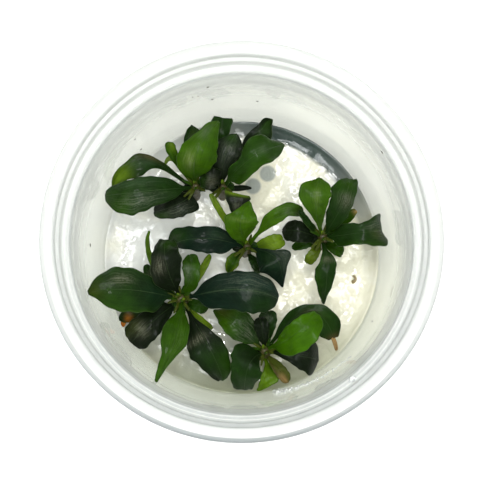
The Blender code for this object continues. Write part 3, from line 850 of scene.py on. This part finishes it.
# The right plant
# A tuft of upright oval leaves to the back, a long folded leaf to the right and a drooping one in front.

right = Plant(
    foot=(21.2, 3.0),
    top=(21.6, 4.1, 22.0),
    radius=1.5,
    leaves=(
        Leaf(
            21.2, (19.0, 11.2, 34), (20.4, 18.0, 32), 8.8, (0.028, 0.074, 0.002), fold=8,
            left=(0.7, 1.9, 3.9, 4.4, 1.3), right=(1.5, 2.7, 3.7, 4.0, 2.6),
            marks=((0.6, 0.1, 0.16, 0.22, PALE_PATCH_AND_SHEEN, 0.4, 0.6), (0.2, 0.0, 0.15, 0.6, MID, 0.6, 0.0)),
        ),
        Leaf(
            19.5, (26.1, 11.1, 30), (28.5, 18.6, 27), 7.6, DARK, fold=14,
            left=(1.9, 3.1, 3.6, 4.4, 2.3, 1.2), right=(1.8, 2.6, 2.7, 2.5, 2.3, 1.8),
            marks=(
                (0.60, 0.25, 0.12, 0.6, BEIGE_SHEEN, 0.5, 0.8), (0.88, 0.0, 0.14, 1.0, MID, 0.9, 0.0),
                (0.70, -0.7, 0.2, 0.3, DEEP, 0.8, 0.0),
            ),
        ),
        Leaf(
            16.0, (27.2, 8.4, 22), (30.4, 10.6, 24), 3.0, MID, hook=0.6,
            marks=((0.95, 0, 0.12, 1, TAN, 0.7, 0.0),),
        ),
        Leaf(
            19.5, (30.6, 4.1, 28), (37.1, 5.4, 23), 8.4, DARK, fold=12,
            left=(2.5, 3.0, 2.6, 3.4, 4.6, 4.2), right=(2.9, 3.0, 3.2, 4.2, 4.4, 3.0),
            marks=(
                (0.80, -0.45, 0.16, 0.25, GREY_SHEEN, 0.6, 0.7), (0.86, 0.2, 0.12, 0.4, OLIVE, 0.5, 0.4),
                (0.5, 0.85, 0.4, 0.2, MID, 0.5, 0.0),
            ),
        ),
        Leaf(
            17.5, (15.4, 5.2, 23), (11.0, 6.0, 18.5), 6.4, BLACK, fold=-8,
            left=(2.0, 2.8, 3.0, 3.0, 2.4), right=(1.5, 2.5, 2.9, 2.9, 2.2),
        ),
        Leaf(19.8, (17.4, 7.4, 25), (15.2, 10.4, 26), 1.8, DARK, blunt=0.5),
        Leaf(
            16.0, (19.3, -0.2, 19), (17.5, -2.6, 17), 3.2, (0.07, 0.11, 0.006), belly=0.6, blunt=0.5,
        ),
        Leaf(
            18.5, (22.4, -4.8, 26), (21.8, -13.5, 17), 6.6, DARK, fold=-14,
            left=(0.6, 2.5, 2.4, 1.8, 0.6), right=(0.8, 1.9, 3.3, 3.0, 1.4),
            # Painted highlight: a narrow pale glint across the ridge of the drooping leaf.
            marks=((0.36, 0.0, 0.05, 0.8, BEIGE_SHEEN, 0.5, 0.5), (0.5, 0.8, 0.4, 0.3, DEEP, 0.7, 0.0)),
        ),
        Leaf(14.5, (24.8, 1.4, 18), (27.0, 0.0, 16), 3.4, MID, belly=0.6, blunt=0.5),
        Leaf(15.0, (17.4, 2.6, 18), (13.6, 1.6, 16), 2.8, DEEP, belly=0.6, blunt=0.5),
    ),
)
grow("right", right, 14)

# The front left plant
# The largest plant: thirteen leaves all round a crown that is full of olive stalks and young shoots.

front_left = Plant(
    foot=(-16.3, -13.2),
    top=(-16.0, -12.3, 21.5),
    radius=1.9,
    leaves=(
        Leaf(
            20.0, (-28.7, -11.0, 31), (-39.6, -11.9, 32), 11.5, DARK, fold=12,
            left=(4.4, 5.7, 6.0, 5.2, 1.8), right=(2.2, 4.6, 5.9, 5.4, 2.6),
            marks=(
                (0.60, 0.48, 0.11, 0.22, BEIGE_SHEEN, 0.60, 0.9), (0.2, 0.0, 0.22, 1.2, BLUE_BLACK, 0.8, 0.0),
                (0.72, -0.5, 0.25, 0.5, DEEP, 0.8, 0.0), (0.95, 0.0, 0.14, 1.0, OLIVE, 0.5, 0.0),
                (0.6, -0.95, 0.35, 0.12, MID, 0.8, 0.0),
            ),
        ),
        Leaf(
            17.5, (-23.4, -18.8, 24), (-29.1, -24.1, 20), 8.2, BLACK, fold=-10,
            left=(1.7, 2.8, 3.8, 3.9, 3.8, 2.6), right=(3.0, 3.9, 3.8, 4.1, 4.0, 2.4),
            marks=((0.72, 0.1, 0.11, 0.5, BEIGE_SHEEN, 0.55, 0.9), (0.85, 0.6, 0.2, 0.4, OLIVE, 0.4, 0.0)),
        ),
        Leaf(
            13.5, (-26.4, -15.6, 18), (-32.6, -17.6, 17), 4.5, DARK, belly=0.6,
            marks=((0.78, -0.4, 0.08, 0.6, ORANGE, 0.7, 0.0),),
        ),
        Leaf(
            20.0, (-17.0, -23.4, 30), (-22.0, -34.9, 31), 8.0, MID, fold=14,
            left=(1.4, 3.0, 3.3, 1.5, 0.4), right=(1.5, 3.6, 3.8, 2.0, 1.2),
            marks=((0.55, -0.3, 0.3, 0.5, BRIGHT, 0.5, 0.2), (0.85, 0.5, 0.2, 0.5, FRESH, 0.5, 0.1)),
        ),
        Leaf(
            17.5, (-8.8, -24.6, 25), (-4.8, -33.8, 18), 8.0, BLACK, fold=-12,
            left=(0.6, 2.5, 4.0, 3.9, 2.9, 1.0), right=(1.3, 4.9, 5.9, 4.5, 3.0, 1.4),
            marks=(
                # Painted highlight: a narrow pale glint across the dark blade.
                (0.40, 0.3, 0.045, 0.6, BEIGE_SHEEN, 0.6, 0.8), (0.85, -0.5, 0.25, 0.7, DEEP, 0.9, 0.0),
                (0.65, 0.4, 0.2, 0.4, DARK, 0.8, 0.0),
            ),
        ),
        Leaf(
            20.0, (-1.2, -11.0, 32), (9.6, -13.0, 27), 10.8, BLUE_BLACK, fold=-12,
            left=(3.2, 4.8, 5.1, 4.9, 3.2, 1.0), right=(4.0, 5.0, 5.7, 5.9, 4.6, 2.4),
            marks=(
                (0.62, -0.50, 0.28, 0.35, BLUE_GREY_SHEEN, 0.42, 0.5), (0.6, 0.0, 0.5, 0.07, GREEN_GREY_SHEEN, 0.4, 0.3),
                (0.85, 0.6, 0.25, 0.5, DARK, 0.8, 0.0),
            ),
        ),
        Leaf(
            19.5, (-19.4, -4.5, 30), (-20.0, 2.6, 26), 7.6, BLACK, wave=0.8, waves=2.0,
            left=(3.0, 4.8, 4.2, 3.2, 2.3, 1.6), right=(2.0, 3.3, 4.3, 3.8, 3.4, 2.4),
            marks=((0.52, -0.45, 0.11, 0.30, BEIGE_SHEEN, 0.60, 0.9), (0.9, 0.3, 0.12, 0.8, DEEP, 0.9, 0.0)),
        ),
        Leaf(
            16.5, (-22.6, -7.7, 22), (-25.2, -3.4, 21), 3.6, DARK, belly=0.55,
            marks=((0.6, 0.0, 0.2, 0.5, BEIGE_SHEEN, 0.3, 0.5),),
        ),
        Leaf(14.0, (-23.8, -2.5, 19), (-24.2, 5.1, 25), 1.6, (0.06, 0.12, 0.010), belly=0.3),
        Leaf(
            19.0, (-13.2, -6.2, 26), (-13.8, -1.1, 23), 5.4, MID,
            left=(0.8, 1.5, 2.4, 2.4, 1.6), right=(2.2, 2.6, 2.4, 2.3, 1.6),
            # Painted highlight: a grey sheen on one half of the blade.
            marks=((0.5, -0.3, 0.18, 0.5, GREY_SHEEN, 0.5, 0.6), (0.9, 0.0, 0.15, 1.0, DEEP, 0.8, 0.0)),
        ),
        Leaf(14.0, (-11.0, -5.4, 18), (-8.4, -0.4, 18), 2.0, LIME, blunt=0.5),
        Leaf(14.8, (-12.0, -13.9, 17.5), (-9.3, -15.2, 16), 3.6, DEEP, belly=0.6, blunt=0.5),
        Leaf(13.0, (-11.2, -17.4, 17), (-7.8, -19.9, 15), 1.6, LIME, blunt=0.5),
    ),
)
grow("front_left", front_left, 26)

# The front right plant
# Nine leaves on a dark crown. The top one is flat and bright, and two below it have dying tips.

front_right = Plant(
    foot=(6.0, -26.6),
    top=(6.2, -25.9, 20.0),
    radius=1.7,
    leaves=(
        Leaf(
            19.0, (14.0, -22.2, 31), (19.3, -16.7, 28), 7.6, FRESH, fold=8,
            left=(1.1, 2.7, 3.0, 2.8, 1.5, 0.6), right=(3.2, 4.7, 5.1, 4.6, 2.8, 1.0),
            marks=((0.12, 0.0, 0.1, 1.0, MID, 0.6, 0.0),),
        ),
        Leaf(
            16.5, (17.3, -16.2, 24), (24.4, -22.8, 20), 6.4, DARK,
            left=(1.6, 2.3, 2.1, 3.0, 3.0, 1.2), right=(1.5, 3.0, 4.0, 4.0, 3.5, 1.5),
            marks=(
                (0.55, 0.2, 0.15, 0.5, BROWN, 0.5, 0.5), (0.72, 0.0, 0.15, 0.8, DEEP, 0.8, 0.0),
                (1.0, 0.0, 0.04, 1.2, BROWN, 0.8, 0.0),
            ),
        ),
        Leaf(
            18.0, (14.3, -27.6, 25), (20.3, -28.4, 19), 8.4, BLACK, fold=-10,
            left=(1.2, 2.4, 3.4, 3.9, 4.4, 3.4), right=(1.0, 2.0, 3.2, 3.9, 4.6, 1.2),
            marks=((0.55, -0.3, 0.12, 0.3, GREY_SHEEN, 0.4, 0.6), (0.35, 0.3, 0.1, 0.2, GREY_SHEEN, 0.4, 0.5)),
        ),
        Leaf(
            14.5, (9.8, -30.7, 18), (12.4, -34.2, 16), 3.4, OLIVE, belly=0.62, blunt=0.5,
            marks=((0.85, 0.4, 0.2, 0.6, TAN, 0.7, 0.0), (0.5, 0.8, 0.3, 0.3, BROWN, 0.7, 0.0)),
        ),
        Leaf(
            12.5, (6.8, -32.6, 16), (4.2, -36.4, 14.5), 4.4, (0.075, 0.15, 0.004),
            left=(0.7, 2.6, 3.2, 1.6, 0.6), right=(0.6, 1.2, 1.6, 1.3, 0.6), marks=((0.3, -0.6, 0.2, 0.5, MID, 0.6, 0.0),),
        ),
        Leaf(
            17.5, (2.0, -30.2, 25), (0.8, -36.4, 18), 9.2, DARK, fold=-10,
            left=(1.2, 2.8, 3.8, 4.0, 2.6, 2.0), right=(5.0, 6.0, 5.0, 4.3, 3.6, 3.0),
            marks=((0.3, 0.0, 0.2, 1.0, BLACK, 0.7, 0.0),),
        ),
        Leaf(
            17.5, (-0.9, -19.9, 24), (-7.3, -15.4, 20), 7.0, DEEP, wave=0.8, waves=2.0,
            left=(1.5, 3.3, 3.6, 2.7, 1.4), right=(2.5, 4.0, 4.3, 3.0, 1.2),
            marks=(
                (0.3, 0.0, 0.2, 1.0, BLUE_BLACK, 0.8, 0.5), (0.85, 0.3, 0.15, 0.8, OLIVE, 0.7, 0.0),
                (0.7, -0.6, 0.2, 0.5, BRIGHT, 0.7, 0.0),
            ),
        ),
        Leaf(
            15.0, (6.9, -19.0, 20), (6.9, -15.8, 19), 5.0, DARK, belly=0.6, blunt=0.5,
            marks=((0.7, 0.0, 0.15, 0.5, GREY_SHEEN, 0.45, 0.6),),
        ),
        Leaf(18.8, (5.4, -21.0, 24), (4.8, -17.6, 23), 4.2, BLACK, belly=0.6, blunt=0.5),
    ),
)
grow("front_right", front_right, 16)

# The loose bits
# Crumbs of old leaf that stuck to the wall when the cup was planted, and dead pieces of leaf: one on the
# gel, one torn at the edge of a leaf of the front left plant and one past a leaf tip of the front right.

# Each crumb is its angle round the cup in degrees, its height and its half length.
CRUMBS = (
    (102, 36.8, 0.45), (108, 32.8, 0.35), (106, 32.5, 0.28), (101, 28.0, 0.40), (84, 25.4, 0.38),
    (134, 18.8, 0.35), (138, 17.7, 0.28), (134, 27.7, 0.30), (33, 41.0, 0.45), (178, 24.4, 0.60),
    (-28, 20.1, 0.32),
)

crumb_finish, shader, wire = finish("crumb", {"Specular IOR Level": 0.2})
spot, axes = place_in(wire)
speck = grain(spot, 1500)
speck.mix((0.012, 0.014, 0.008, 1), (0.09, 0.07, 0.03, 1)).into(shader.inputs["Base Color"])
(0.5 + speck * 0.3).into(shader.inputs["Roughness"])
bm = bmesh.new()
for turn, height, size in CRUMBS:
    reach = FLOOR_RADIUS + WALL_SLOPE * (height - 3.0) - 0.08
    place = Matrix.Rotation(math.radians(turn), 4, "Z") @ Matrix.Translation((reach, 0, height))
    shape = Matrix.Rotation(height, 4, "X") @ Matrix.Diagonal((0.12, size, size * 0.45, 1))
    bmesh.ops.create_icosphere(bm, subdivisions=2, radius=1.0, matrix=place @ shape)
crumbs = piece("crumbs", bm, crumb_finish)


def dead_piece(name, place, middle, tip, width, colour):
    """A dead piece of leaf from place through middle to tip."""
    start = Plant(place[:2], place, 0.0, ())
    leaf = Leaf(place[2], middle, tip, width, colour, fold=25, stalk=0.02, wave=0.2)
    sprout(name, start, leaf, "leaf_browned")


dead_piece("dead_curl", (30.1, -7.0, 9.3), (31.0, -6.2, 10.4), (30.2, -5.2, 9.9), 0.5, (0.34, 0.27, 0.14))
dead_piece("torn_edge", (-29.4, -16.8, 18.0), (-30.9, -17.6, 17.4), (-31.6, -19.6, 16.4), 1.8, ORANGE)
dead_piece("dead_tip", (23.8, -22.4, 20.4), (24.7, -24.0, 18.6), (25.3, -25.8, 15.6), 1.3, TAN)

# The floor and the light
# A plain white table that glows faintly, under even light from the room and four soft boxes overhead, with a
# darker ceiling above.

bm = bmesh.new()
bmesh.ops.create_grid(bm, x_segments=1, y_segments=1, size=1.5)
bmesh.ops.translate(bm, verts=bm.verts, vec=(0, 0, -0.0003))
table_mesh = bpy.data.meshes.new("table")
bm.to_mesh(table_mesh)
bm.free()
table = bpy.data.objects.new("table", table_mesh)
bpy.context.scene.collection.objects.link(table)
white_paint, shader, wire = finish(
    "white_paint", {"Roughness": 0.7, "Emission Color": (1, 1, 1, 1), "Emission Strength": 0.25}
)
spot, axes = place_in(wire)
grain(spot, 40).mix((0.90, 0.90, 0.90, 1), (0.93, 0.93, 0.93, 1)).into(shader.inputs["Base Color"])
table_mesh.materials.append(white_paint)

world = bpy.data.worlds.new("studio")
bpy.context.scene.world = world
world.use_nodes = True
sky = Wire(world.node_tree)
way = sky.add("ShaderNodeTexCoord", {}, {}, "Generated")
rise = way.add("ShaderNodeSeparateXYZ", {}, {0: way}, "Z")
glow = rise.add(
    "ShaderNodeValToRGB",
    {"stops": ((0.0, 0.85), (0.35, 1.0), (0.62, 1.0), (0.86, 0.85), (0.96, 0.6), (1.0, 0.5))},
    {0: rise},
)
ground = world.node_tree.nodes["Background"]
glow.into(ground.inputs["Color"])
ground.inputs["Strength"].default_value = 0.80


def soft_box(name, place, size, power, colour):
    """A square soft box that faces the cup."""
    lamp = bpy.data.lights.new(name, "AREA")
    lamp.shape = "SQUARE"
    lamp.size = size
    lamp.energy = power
    lamp.color = colour
    box = bpy.data.objects.new(name, lamp)
    bpy.context.scene.collection.objects.link(box)
    box.location = place
    box.rotation_euler = (Vector((0, 0, 0.02)) - Vector(place)).to_track_quat("-Z", "Y").to_euler()


soft_box("window", (-0.12, -0.25, 1.1), 0.4, 4.6, (0.95, 0.98, 1.0))
soft_box("lamp", (0.2, -0.1, 1.1), 0.3, 2.8, (1.0, 0.98, 0.95))
soft_box("overhead", (0.08, 0.3, 1.1), 0.2, 2.6, (1.0, 1.0, 1.0))
soft_box("spark", (-0.1, 0.14, 1.1), 0.05, 0.8, (1.0, 1.0, 1.0))

# The camera
# It looks down on the cup from just in front of it, close enough that the wall opens out all round.

CAMERA_ELEVATION = 83.0
CAMERA_DISTANCE = 0.380
CAMERA_LENS = 115.7
PICTURE_SHIFT = -1.5 / 480

camera = bpy.data.objects.new("camera", bpy.data.cameras.new("camera"))
bpy.context.scene.collection.objects.link(camera)
bpy.context.scene.camera = camera
rim_middle = Vector((0, 0, RIM_TOP * MM))
slope = math.radians(CAMERA_ELEVATION)
back_way = Vector((0, -math.cos(slope), math.sin(slope)))
camera.location = rim_middle + back_way * CAMERA_DISTANCE
camera.rotation_euler = (-back_way).to_track_quat("-Z", "Y").to_euler()
camera.data.lens = CAMERA_LENS
camera.data.shift_x = PICTURE_SHIFT
camera.data.shift_y = PICTURE_SHIFT
camera.data.clip_start = 0.01
bpy.context.scene.view_settings.view_transform = "Standard"
